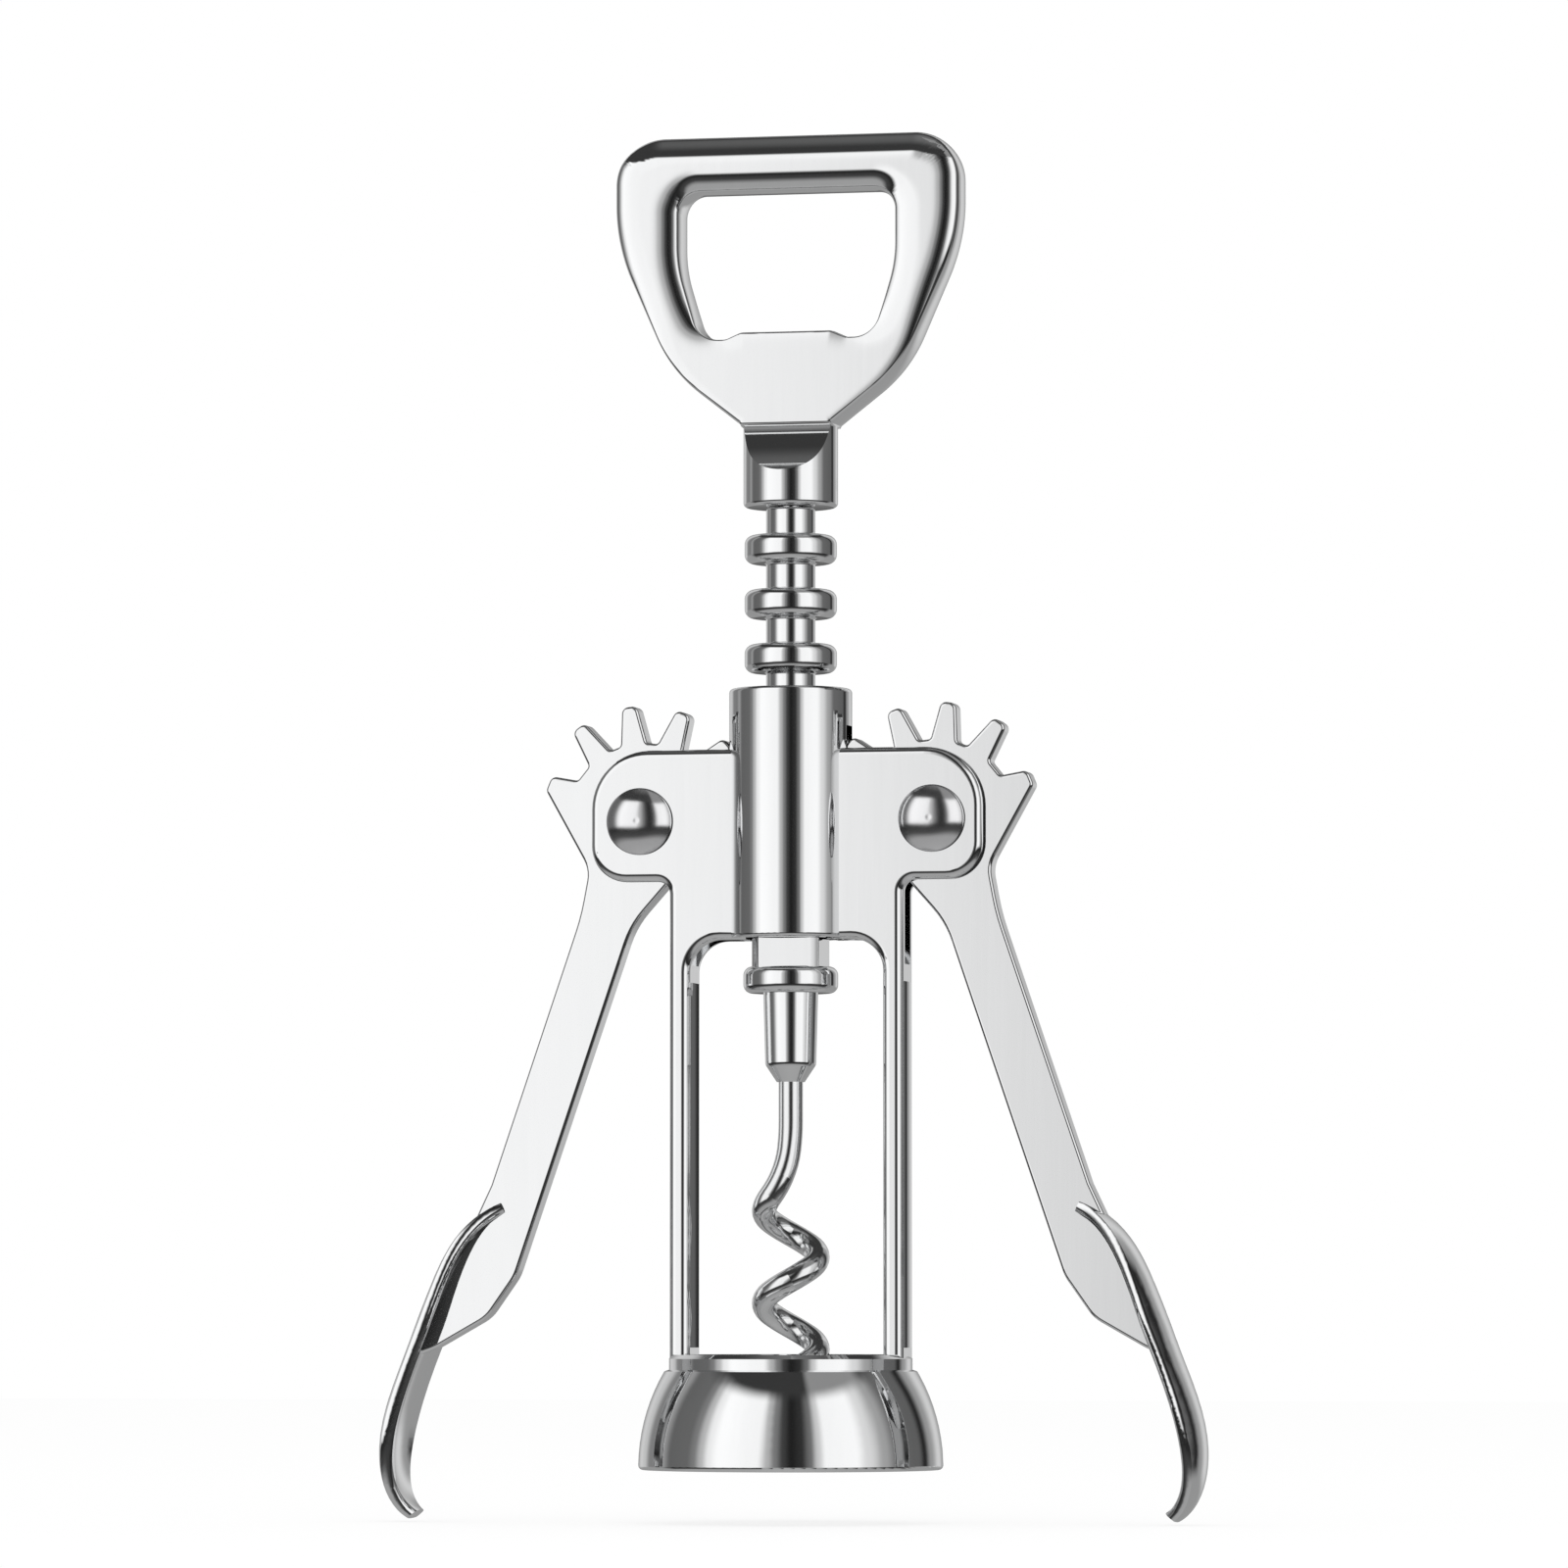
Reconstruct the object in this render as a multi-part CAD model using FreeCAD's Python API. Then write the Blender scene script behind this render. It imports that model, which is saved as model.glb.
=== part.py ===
import FreeCAD, Part
import math
import os
from FreeCAD import Vector

# Wing corkscrew in millimetres. +Z is up, +X is to the right, and the front faces -Y.
# The origin is the middle of the bell's mouth, which goes over the neck of a bottle.

# Bell, the cup at the foot of the frame
bell_mouth_r = 19.4
bell_height = 14.6
bell_shoulder_r = 16.1
bell_shoulder_drop = 2.1
bell_belly_bulge = 0.8
bell_rim_r = 15.5
bell_rim_step = 1.9
bell_rim_round = 0.5
bell_edge_round = 0.6
socket_r = 16.0
socket_depth = 7.6
throat_r = 12.4
throat_slope = 1.8

# Frame, two plates joined by the posts, with the barrel between them
post_inner_x = 12.55
post_width = 2.65
post_foot_depth = 4.3
frame_depth = 7.1
frame_edge_round = 1.0
arch_z = 67.4
arch_corner_r = 4.0
slot_floor_z = 64.2
pivot_x = 19.0
pivot_z = 82.6
ear_beyond_pivot = 6.5
ear_above_pivot = 9.15
ear_below_pivot = 7.7
ear_top_corner_r = 7.5
ear_bottom_corner_r = 4.7
ear_inner_corner_r = 1.6

# Barrel that guides the rack
barrel_wall = 1.55
barrel_bottom_z = 67.6
barrel_top_z = 99.5
barrel_edge_round = 0.5
barrel_lip_height = 1.6
window_bottom_z = 71.4
window_top_z = 94.7

# Rack sleeve with its stack of rings
ring_r = 5.9
ring_height = 3.6
ring_corner_r = 1.15
ring_pitch = 7.0
ring_count = 7
top_ring_z = 117.4
root_r = 3.15
root_corner_r = 0.3

# Levers
gear_teeth_in_full_turn = 13
lever_tooth_count = 7
first_tooth_deg = 27.6
end_tooth_deg = 22.5
end_tooth_tip_r = 13.5
gear_root_r = 10.2
gear_tip_r = 15.0
tooth_base_width = 3.5
tooth_tip_width = 2.0
tooth_tip_round = 0.9
tooth_root_round = 0.55
lever_thickness = 3.4
lever_edge_round = 0.4
bar_width = 6.9
bar_offset = 0.5
bar_lean_deg = 18.8
waist_r = 9.3
waist_deg = -40.0
waist_round = 4.0
bar_outer_start = 14.0
bar_outer_round = 30.0
hip_across = 6.6
hip_along = 5.5
hip_round = 3.0
bar_inner_start = 13.0
bar_inner_start_round = 12.0
bar_inner_end_round = 6.0

# Grip, the curved flange on the bar's outer edge, and the web that runs out under it
lever_reach = 94.2
grip_length = 45.4
grip_overlap = 1.5
web_bend_below_start = 11.5
grip_bow = 3.9
grip_half_width = 6.0
grip_thickness = 1.9
grip_crown = 1.3
web_end_round = 5.0
web_point_round = 10.0
web_outer_round = 40.0

# Rivets at the pivots
rivet_r = 2.0
rivet_head_r = 4.3
rivet_head_height = 2.3
rivet_tail_r = 3.9
rivet_tail_height = 1.7
rivet_head_edge = 0.35

# Worm, one steel wire from the handle to the point
wire_r = 1.55
worm_mean_r = 3.4
worm_pitch = 11.75
worm_start_z = 32.9
worm_start_deg = 192.0
worm_turn_deg = 655.0
worm_swing_deg = 95.0
worm_swing_height = 11.4
worm_swing_slope = 14.0
worm_point_length = 3.6
worm_point_r = 0.2
shank_depth_in_handle = 7.4

# Ferrule that grips the worm under the rack
neck_across_flats = 8.7
neck_corner_r = 5.45
neck_height = 3.6
flange_r = 6.05
flange_height = 3.4
flange_round = 1.1
nose_top_r = 3.5
nose_bottom_r = 3.25
nose_length = 9.1
nose_tip_length = 2.2
ferrule_gap = 0.1

# Handle with its crown cap lifter
collar_r = 6.05
collar_bottom_z = 122.8
collar_height = 10.8
collar_edge_round = 0.6
facet_height = 6.4
handle_thickness = 7.2
handle_round = 2.8
handle_height = 37.1
handle_half_width = 22.6
handle_top_corner_r = 6.2
handle_side_drop = 13.9
handle_side_r = 24.0
handle_hip_inset = 7.4
handle_hip_rise = 6.8
handle_hip_r = 19.0
neck_drop = 0.4
neck_foot_drop = 1.9
handle_rim_width = 8.6
handle_top_width = 7.4
hole_top_corner_r = 2.7
hole_side_drop = 16.7
hole_side_r = 18.0
hole_floor_inset = 2.7
hole_floor_rise = 10.8
hole_floor_corner_r = 2.4
lip_half_width = 6.3
lip_height = 0.9
lip_slope = 1.2
hole_round = 2.4

# Cross pin that locks the worm in the handle
pin_r = 0.9
pin_rise = 2.8

# Clearances
barrel_clearance = 0.25
lip_clearance = 0.15
lever_side_clearance = 0.1
pivot_clearance = 0.05
shank_clearance = 0.05

# Sizes that follow
collar_top_z = collar_bottom_z + collar_height
facet_start_z = collar_top_z - facet_height
handle_top_z = collar_top_z + handle_height
handle_side_z = handle_top_z - handle_side_drop
handle_hip_z = collar_top_z + handle_hip_rise
hole_side_z = handle_top_z - hole_side_drop
hole_floor_z = collar_top_z + hole_floor_rise
pin_z = collar_bottom_z + pin_rise
origin = Vector(0, 0, 0)
up = Vector(0, 0, 1)
back = Vector(0, 1, 0)
half_depth = frame_depth / 2.0
post_outer_x = post_inner_x + post_width
ear_reach = pivot_x + ear_beyond_pivot
ear_top_z = pivot_z + ear_above_pivot
ear_bottom_z = pivot_z - ear_below_pivot
barrel_bore_r = collar_r + barrel_clearance
barrel_r = barrel_bore_r + barrel_wall
slot_width = lever_thickness + 2 * lever_side_clearance
tooth_step_deg = 360.0 / gear_teeth_in_full_turn
sleeve_top_z = collar_bottom_z - ferrule_gap
sleeve_bottom_z = barrel_bottom_z + ferrule_gap
neck_bottom_z = barrel_bottom_z - neck_height
flange_bottom_z = neck_bottom_z - flange_height
grip_start = lever_reach - grip_length
bar_outer_end = grip_start + grip_overlap
bar_inner_end = grip_start + web_bend_below_start
handle_hip_x = handle_half_width - handle_hip_inset
hole_half_width = handle_half_width - handle_rim_width
hole_top_z = handle_top_z - handle_top_width
hole_floor_x = hole_half_width - hole_floor_inset


def corner_arc(before, corner, after, radius):
    # The arc of the given radius that rounds a corner, as its start, middle and end
    to_before = (before - corner).normalize()
    to_after = (after - corner).normalize()
    half_angle = to_before.getAngle(to_after) / 2.0
    reach = radius / math.tan(half_angle)
    middle_way = (to_before + to_after).normalize()
    sag = radius / math.sin(half_angle) - radius
    return corner + to_before * reach, corner + middle_way * sag, corner + to_after * reach


def rounded_wire(corners):
    # A closed outline in the XZ plane from corners written as (x, z, radius)
    points = [Vector(x, 0, z) for x, z, radius in corners]
    edges = []
    ends = []
    for i, (x, z, radius) in enumerate(corners):
        if radius > 0:
            after = points[(i + 1) % len(points)]
            start, middle, end = corner_arc(points[i - 1], points[i], after, radius)
            ends.append((start, end, Part.Arc(start, middle, end).toShape()))
        else:
            ends.append((points[i], points[i], None))
    for i, (start, end, arc) in enumerate(ends):
        if arc:
            edges.append(arc)
        following = ends[(i + 1) % len(ends)][0]
        if (following - end).Length > 1e-6:
            edges.append(Part.makeLine(end, following))
    return Part.Wire(edges)


def plate(corners, thickness):
    # A flat plate, centred on the XZ plane
    face = Part.Face(rounded_wire(corners))
    face.translate(Vector(0, -thickness / 2.0, 0))
    return face.extrude(Vector(0, thickness, 0))


def turned(corners):
    # A solid of revolution about Z, from corners written as (radius, z, rounding)
    return Part.Face(rounded_wire(corners)).revolve(origin, up, 360)


def round_outline(solid, half_thickness, radius, keep=lambda middle: True):
    # Rounds the edges that lie in a plate's front and back faces
    chosen = []
    for edge in solid.Edges:
        box = edge.BoundBox
        flat = box.YLength < 1e-6 and abs(abs(box.YMin) - half_thickness) < 1e-6
        if flat and keep(box.Center):
            chosen.append(edge)
    return solid.makeFillet(radius, chosen)


def mirrored(right_half):
    # Adds the left half of an outline that is listed from its top middle down the right
    return right_half + [(-x, z, radius) for x, z, radius in reversed(right_half)]


def box_between(low, high):
    size = high - low
    return Part.makeBox(size.x, size.y, size.z, low)


def make_bell():
    shoulder_z = bell_height - bell_shoulder_drop
    low = Vector(bell_mouth_r, 0, bell_edge_round)
    high = Vector(bell_shoulder_r, 0, shoulder_z)
    side = (high - low).normalize()
    outward = Vector(side.z, 0, -side.x)
    belly = Part.Arc(low, (low + high) * 0.5 + outward * bell_belly_bulge, high)
    rim_z = bell_height - bell_rim_step
    inside = [
        high,
        Vector(bell_rim_r, 0, rim_z),
        Vector(bell_rim_r, 0, bell_height - bell_rim_round),
        Vector(bell_rim_r - bell_rim_round, 0, bell_height),
        Vector(throat_r, 0, bell_height),
        Vector(throat_r, 0, socket_depth + throat_slope),
        Vector(socket_r, 0, socket_depth),
        Vector(socket_r, 0, 0),
        Vector(bell_mouth_r - bell_edge_round, 0, 0),
    ]
    inner = Part.makePolygon(inside)
    bend = bell_edge_round * (1 - math.sqrt(0.5))
    foot = Part.Arc(inside[-1], Vector(bell_mouth_r - bend, 0, bend), low)
    outline = Part.Wire([belly.toShape()] + inner.Edges + [foot.toShape()])
    return Part.Face(outline).revolve(origin, up, 360)


def make_barrel():
    barrel = Part.makeCylinder(barrel_r, barrel_top_z - barrel_bottom_z, Vector(0, 0, barrel_bottom_z))
    rims = [edge for edge in barrel.Edges if edge.BoundBox.ZLength < 1e-6]
    return barrel.makeFillet(barrel_edge_round, rims)


def make_frame():
    foot_z = bell_height - post_foot_depth
    outline = [
        (ear_reach, ear_top_z, ear_top_corner_r),
        (ear_reach, ear_bottom_z, ear_bottom_corner_r),
        (post_outer_x, ear_bottom_z, ear_inner_corner_r),
        (post_outer_x, foot_z, 0),
        (post_inner_x, foot_z, 0),
        (post_inner_x, arch_z, arch_corner_r),
    ]
    plates = plate(mirrored(outline), frame_depth)
    plates = round_outline(plates, half_depth, frame_edge_round, lambda middle: middle.z > foot_z + 1)
    slot_low = Vector(-ear_reach - 1, -slot_width / 2, slot_floor_z)
    slot_high = Vector(ear_reach + 1, slot_width / 2, ear_top_z + 1)
    plates = plates.cut(box_between(slot_low, slot_high))
    frame = plates.fuse([make_barrel(), make_bell()])
    lip_top_z = barrel_bottom_z + barrel_lip_height
    bore = Part.makeCylinder(barrel_bore_r, barrel_top_z, Vector(0, 0, lip_top_z))
    lip = Part.makeCylinder(ring_r + lip_clearance, barrel_top_z - arch_z + 2, Vector(0, 0, arch_z - 1))
    window_low = Vector(-barrel_r - 1, -slot_width / 2, window_bottom_z)
    window_high = Vector(barrel_r + 1, slot_width / 2, window_top_z)
    cuts = [bore, lip, box_between(window_low, window_high)]
    for side in (-1, 1):
        start = Vector(side * pivot_x, -half_depth - 1, pivot_z)
        cuts.append(Part.makeCylinder(rivet_r, frame_depth + 2, start, back))
    return frame.cut(cuts).removeSplitter()


def dome(radius, height):
    # A rivet head that stands up from the XZ plane towards +Y, with a short upright edge
    rise = height - rivet_head_edge
    sphere_r = (radius * radius + rise * rise) / (2 * rise)
    half = math.asin(radius / sphere_r) / 2
    middle = Vector(sphere_r * math.sin(half), height - sphere_r * (1 - math.cos(half)), 0)
    edge_top = Vector(radius, rivet_head_edge, 0)
    crown = Vector(0, height, 0)
    lines = Part.makePolygon([crown, origin, Vector(radius, 0, 0), edge_top])
    arc = Part.Arc(edge_top, middle, crown).toShape()
    return Part.Face(Part.Wire(lines.Edges + [arc])).revolve(origin, back, 360)


def make_rivet(side):
    shank = Part.makeCylinder(rivet_r, frame_depth, Vector(0, -half_depth, 0), back)
    head = dome(rivet_head_r, rivet_head_height)
    head.rotate(origin, up, 180)
    head.translate(Vector(0, -half_depth, 0))
    tail = dome(rivet_tail_r, rivet_tail_height)
    tail.translate(Vector(0, half_depth, 0))
    rivet = shank.fuse([head, tail]).removeSplitter()
    rivet.translate(Vector(side * pivot_x, 0, pivot_z))
    return rivet


def polar(radius, degrees):
    angle = math.radians(degrees)
    return radius * math.cos(angle), radius * math.sin(angle)


def tooth_corners(middle_deg, tip_r):
    # One tooth, walked the way the angle grows
    base = math.degrees(math.asin(tooth_base_width / 2 / gear_root_r))
    tip = math.degrees(math.asin(tooth_tip_width / 2 / tip_r))
    places = [
        (gear_root_r, middle_deg - base, tooth_root_round),
        (tip_r, middle_deg - tip, tooth_tip_round),
        (tip_r, middle_deg + tip, tooth_tip_round),
        (gear_root_r, middle_deg + base, tooth_root_round),
    ]
    return [polar(radius, degrees) + (rounding,) for radius, degrees, rounding in places]


def bar_point(across, along):
    # A place on the lever's bar: out from its middle line, and along it from the pivot
    lean = math.radians(bar_lean_deg)
    out = across + bar_offset
    x = out * math.cos(lean) + along * math.sin(lean)
    z = out * math.sin(lean) - along * math.cos(lean)
    return x, z


def grip_point(out, down):
    # A place by the grip: shares of its bow beyond the bar's edge, and of its length
    across = bar_width / 2 + grip_bow * out
    return bar_point(across, grip_start + grip_length * down)


def lever_outline():
    # Up the outer edge to the waist, round the teeth, then down the inner edge to the web's corner
    half = bar_width / 2
    corners = [
        bar_point(half, bar_outer_end) + (0,),
        bar_point(half, bar_outer_start) + (bar_outer_round,),
        polar(waist_r, waist_deg) + (waist_round,),
    ]
    # The tooth next to the bar is shorter and runs out into the waist
    corners += tooth_corners(end_tooth_deg, end_tooth_tip_r)[1:]
    for i in range(1, lever_tooth_count):
        corners += tooth_corners(first_tooth_deg + i * tooth_step_deg, gear_tip_r)
    corners += [
        bar_point(-hip_across, hip_along) + (hip_round,),
        bar_point(-half, bar_inner_start) + (bar_inner_start_round,),
        bar_point(-half, bar_inner_end) + (bar_inner_end_round,),
        grip_point(-1.30, 0.39) + (web_end_round,),
        grip_point(0.05, 0.52) + (web_point_round,),
        grip_point(0.62, 0.56) + (0,),
        grip_point(0.87, 0.54) + (0,),
        grip_point(0.51, 0.41) + (web_outer_round,),
    ]
    return corners


def grip_section(outer, inward, half_width, crown):
    # A curved strip across the grip: convex outside, hollow inside, with round edges
    side = Vector(0, 1, 0)
    inner_half = half_width - grip_thickness * 0.35
    top = [
        outer - side * half_width + inward * crown,
        outer,
        outer + side * half_width + inward * crown,
    ]
    rim = crown + grip_thickness * 0.75
    low = [
        outer + side * inner_half + inward * rim,
        outer + inward * grip_thickness,
        outer - side * inner_half + inward * rim,
    ]
    bulge = side * (grip_thickness * 0.2)
    half_way = (top[2] + low[0]) * 0.5 + bulge
    other_way = (low[2] + top[0]) * 0.5 - bulge
    arcs = [
        Part.Arc(*top),
        Part.Arc(top[2], half_way, low[0]),
        Part.Arc(*low),
        Part.Arc(low[2], other_way, top[0]),
    ]
    return Part.Wire([arc.toShape() for arc in arcs])


def make_grip():
    # Places along the grip's outer line, and the share of the full width there
    places = [
        (-0.48, 0.07, 0.35),
        (-0.02, 0.11, 0.50),
        (0.36, 0.16, 0.66),
        (0.72, 0.25, 0.84),
        (0.92, 0.44, 1.00),
        (1.00, 0.64, 1.00),
        (0.80, 0.83, 0.96),
        (0.15, 0.943, 0.74),
        (-0.87, 1.00, 0.40),
    ]
    outer = [grip_point(out, down) for out, down, share in places]
    sections = []
    for i, (out, down, share) in enumerate(places):
        before = outer[max(i - 1, 0)]
        after = outer[min(i + 1, len(outer) - 1)]
        way = Vector(after[0] - before[0], 0, after[1] - before[1]).normalize()
        inward = Vector(way.z, 0, -way.x)
        point = Vector(outer[i][0], 0, outer[i][1])
        half_width = grip_half_width * share
        sections.append(grip_section(point, inward, half_width, grip_crown * share * share))
    return Part.makeLoft(sections, True)


def make_lever(side):
    # The right lever is drawn about its pivot, and the left one is its mirror image
    body = plate(lever_outline(), lever_thickness)
    web_z = grip_point(-0.89, 0.23)[1]
    body = round_outline(body, lever_thickness / 2, lever_edge_round, lambda middle: middle.z > web_z)
    lever = body.fuse(make_grip())
    hole_r = rivet_r + pivot_clearance
    lever = lever.cut(Part.makeCylinder(hole_r, frame_depth, Vector(0, -half_depth, 0), back))
    if side < 0:
        lever = lever.mirror(origin, Vector(1, 0, 0))
    lever.translate(Vector(side * pivot_x, 0, pivot_z))
    return lever


def make_rack():
    corners = [(wire_r + shank_clearance, sleeve_top_z, 0), (wire_r + shank_clearance, sleeve_bottom_z, 0)]
    corners.append((root_r, sleeve_bottom_z, root_corner_r))
    for i in reversed(range(ring_count)):
        low = top_ring_z - i * ring_pitch - ring_height / 2
        high = low + ring_height
        corners += [
            (root_r, low, root_corner_r),
            (ring_r, low, ring_corner_r),
            (ring_r, high, ring_corner_r),
            (root_r, high, root_corner_r),
        ]
    corners.append((root_r, sleeve_top_z, root_corner_r))
    return turned(corners)


def make_ferrule():
    neck = box_between(
        Vector(-neck_across_flats / 2, -neck_across_flats / 2, neck_bottom_z - 0.5),
        Vector(neck_across_flats / 2, neck_across_flats / 2, barrel_bottom_z),
    )
    neck = neck.common(Part.makeCylinder(neck_corner_r, neck_height + 1, Vector(0, 0, neck_bottom_z - 1)))
    nose_bottom_z = flange_bottom_z - nose_length
    tip_z = nose_bottom_z - nose_tip_length
    body = turned([
        (0, neck_bottom_z, 0),
        (0, tip_z, 0),
        (wire_r + 0.25, tip_z, 0),
        (nose_bottom_r, nose_bottom_z, 1.0),
        (nose_top_r, flange_bottom_z, 0),
        (flange_r, flange_bottom_z, flange_round),
        (flange_r, neck_bottom_z, flange_round),
    ])
    bore = Part.makeCylinder(wire_r, barrel_bottom_z, Vector(0, 0, tip_z - 1))
    return body.fuse(neck).cut(bore).removeSplitter()


def worm_point(turn):
    # The wire's middle line below the handle. turn is in degrees, 0 where the helix starts
    if turn < 0:
        share = 1 + turn / worm_swing_deg
        radius = worm_mean_r * share * share * (3 - 2 * share)
        end_slope = worm_pitch * worm_swing_deg / 360
        bend = 3 * worm_swing_height - 2 * worm_swing_slope - end_slope
        ease = worm_swing_slope + end_slope - 2 * worm_swing_height
        fall = worm_swing_slope * share + bend * share ** 2 + ease * share ** 3
        z = worm_start_z + worm_swing_height - fall
    else:
        radius = worm_mean_r
        z = worm_start_z - worm_pitch * turn / 360
    angle = math.radians(worm_start_deg - turn)
    return Vector(radius * math.cos(angle), radius * math.sin(angle), z)


def worm_heading(turn):
    step = 0.01
    if turn <= -worm_swing_deg + step:
        return Vector(0, 0, -1)
    return (worm_point(turn + step) - worm_point(turn - step)).normalize()


def arc_from(start, heading, end):
    # The arc that leaves start along heading and reaches end
    chord = end - start
    length = chord.Length
    along = Vector(chord).normalize()
    aside = heading - along * heading.dot(along)
    if aside.Length < 1e-7:
        return Part.makeLine(start, end)
    half = math.acos(max(-1.0, min(1.0, heading.dot(along)))) / 2
    middle = start + chord * 0.5 + aside.normalize() * (length / 2 * math.tan(half))
    return Part.Arc(start, middle, end).toShape()


def biarc(start, start_heading, end, end_heading):
    # Two arcs that meet in line and join two places with their headings
    gap = end - start
    both = start_heading + end_heading
    spread = 2 * (1 - start_heading.dot(end_heading))
    lean = gap.dot(both)
    if spread < 1e-9:
        reach = gap.dot(gap) / (2 * lean)
    else:
        reach = (-lean + math.sqrt(lean * lean + spread * gap.dot(gap))) / spread
    middle = (start + end + (start_heading - end_heading) * reach) * 0.5
    first = arc_from(start, start_heading, middle)
    second = arc_from(end, end_heading * -1, middle)
    return [first, second]


def make_worm():
    turns = [-worm_swing_deg, -worm_swing_deg / 2, 0]
    quarter_count = int(worm_turn_deg // 90)
    turns += [90 * (i + 1) for i in range(quarter_count)]
    if worm_turn_deg - turns[-1] > 5:
        turns.append(worm_turn_deg)
    shank_top = Vector(0, 0, collar_bottom_z + shank_depth_in_handle)
    edges = [Part.makeLine(shank_top, worm_point(turns[0]))]
    for a, b in zip(turns, turns[1:]):
        edges += biarc(worm_point(a), worm_heading(a), worm_point(b), worm_heading(b))
    path = Part.Wire(Part.__sortEdges__(edges))
    circle = Part.Wire([Part.makeCircle(wire_r, shank_top, up)])
    shell = Part.BRepOffsetAPI.MakePipeShell(path)
    shell.add(circle)
    shell.build()
    shell.makeSolid()
    tube = shell.shape()
    end = worm_point(turns[-1])
    heading = worm_heading(turns[-1])
    point = Part.makeCone(wire_r, worm_point_r, worm_point_length, end, heading)
    return tube.fuse(point)


def print_worm_gap():
    # The least space between one turn of the wire and the next, measured on points
    step = 5
    count = int(worm_turn_deg // step)
    points = [worm_point(step * i) for i in range(count + 1)]
    apart = int(180 / step)
    least = min(
        (points[i] - points[j]).Length
        for i in range(len(points))
        for j in range(i + apart, len(points))
    )
    print("worm's least gap to itself", round(least - 2 * wire_r, 2), "mm")


def around_hole(middle):
    # Whether an edge of the handle's faces belongs to the hole and not to the outside
    inside = abs(middle.x) < hole_half_width + 0.5
    return inside and hole_floor_z - 0.5 < middle.z < hole_top_z + 0.5


def make_handle():
    outer = [
        (handle_half_width, handle_top_z, handle_top_corner_r),
        (handle_half_width, handle_side_z, handle_side_r),
        (handle_hip_x, handle_hip_z, handle_hip_r),
        (collar_r, collar_top_z - neck_drop, 0),
        (collar_r, collar_top_z - neck_foot_drop, 0),
    ]
    body = plate(mirrored(outer), handle_thickness)
    half = handle_thickness / 2
    body = round_outline(body, half, handle_round, lambda middle: middle.z > collar_top_z)
    hole = [
        (hole_half_width, hole_top_z, hole_top_corner_r),
        (hole_half_width, hole_side_z, hole_side_r),
        (hole_floor_x, hole_floor_z, hole_floor_corner_r),
    ]
    body = body.cut(plate(mirrored(hole), handle_thickness + 2))
    body = round_outline(body, half, hole_round, around_hole)
    lip = [
        (lip_half_width, hole_floor_z + lip_height, 0),
        (lip_half_width + lip_slope, hole_floor_z, 0),
        (lip_half_width + lip_slope, hole_floor_z - hole_round - 1, 0),
    ]
    body = body.fuse(plate(mirrored(lip), handle_thickness))
    collar = Part.makeCylinder(collar_r, collar_top_z - collar_bottom_z + 2, Vector(0, 0, collar_bottom_z))
    bottom = [edge for edge in collar.Edges if edge.BoundBox.ZMax < collar_bottom_z + 1e-6]
    collar = collar.makeFillet(collar_edge_round, bottom)
    slope = (collar_top_z - facet_start_z) / (collar_r - half)
    far = 2 * collar_r
    wedge = [
        Vector(-far, -half, collar_top_z + 4),
        Vector(-far, -half, collar_top_z),
        Vector(-far, -far, collar_top_z - slope * (far - half)),
        Vector(-far, -far, collar_top_z + 4),
        Vector(-far, -half, collar_top_z + 4),
    ]
    front = Part.Face(Part.makePolygon(wedge)).extrude(Vector(2 * far, 0, 0))
    behind = front.mirror(origin, back)
    collar = collar.cut([front, behind])
    handle = body.fuse(collar)
    shank = Part.makeCylinder(wire_r, shank_depth_in_handle + 1, Vector(0, 0, collar_bottom_z - 1))
    pin_hole = Part.makeCylinder(pin_r, 2 * far, Vector(-far, 0, pin_z), Vector(1, 0, 0))
    return handle.cut([shank, pin_hole]).removeSplitter()


def make_pin():
    pin = Part.makeCylinder(pin_r, 4 * collar_r, Vector(-2 * collar_r, 0, pin_z), Vector(1, 0, 0))
    bounds = Part.makeCylinder(collar_r, collar_top_z - collar_bottom_z, Vector(0, 0, collar_bottom_z))
    return pin.common(bounds)


def save(name, shape):
    shape.exportStep(os.path.join("parts", name + ".step"))
    box = shape.BoundBox
    size = [round(value, 2) for value in (box.XMin, box.XMax, box.YMin, box.YMax, box.ZMin, box.ZMax)]
    print(name, shape.isValid(), len(shape.Solids), "solid,", round(shape.Volume), "mm3,", size)


os.makedirs("parts", exist_ok=True)
pin = make_pin()
worm = make_worm().cut(pin)
save("frame_casting", make_frame())
save("left_rivet", make_rivet(-1))
save("right_rivet", make_rivet(1))
save("left_lever", make_lever(-1))
save("right_lever", make_lever(1))
save("rack_sleeve", make_rack())
save("worm_ferrule", make_ferrule())
save("worm", worm)
save("opener_handle", make_handle())
save("handle_pin", pin)
print_worm_gap()
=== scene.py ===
import math

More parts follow.
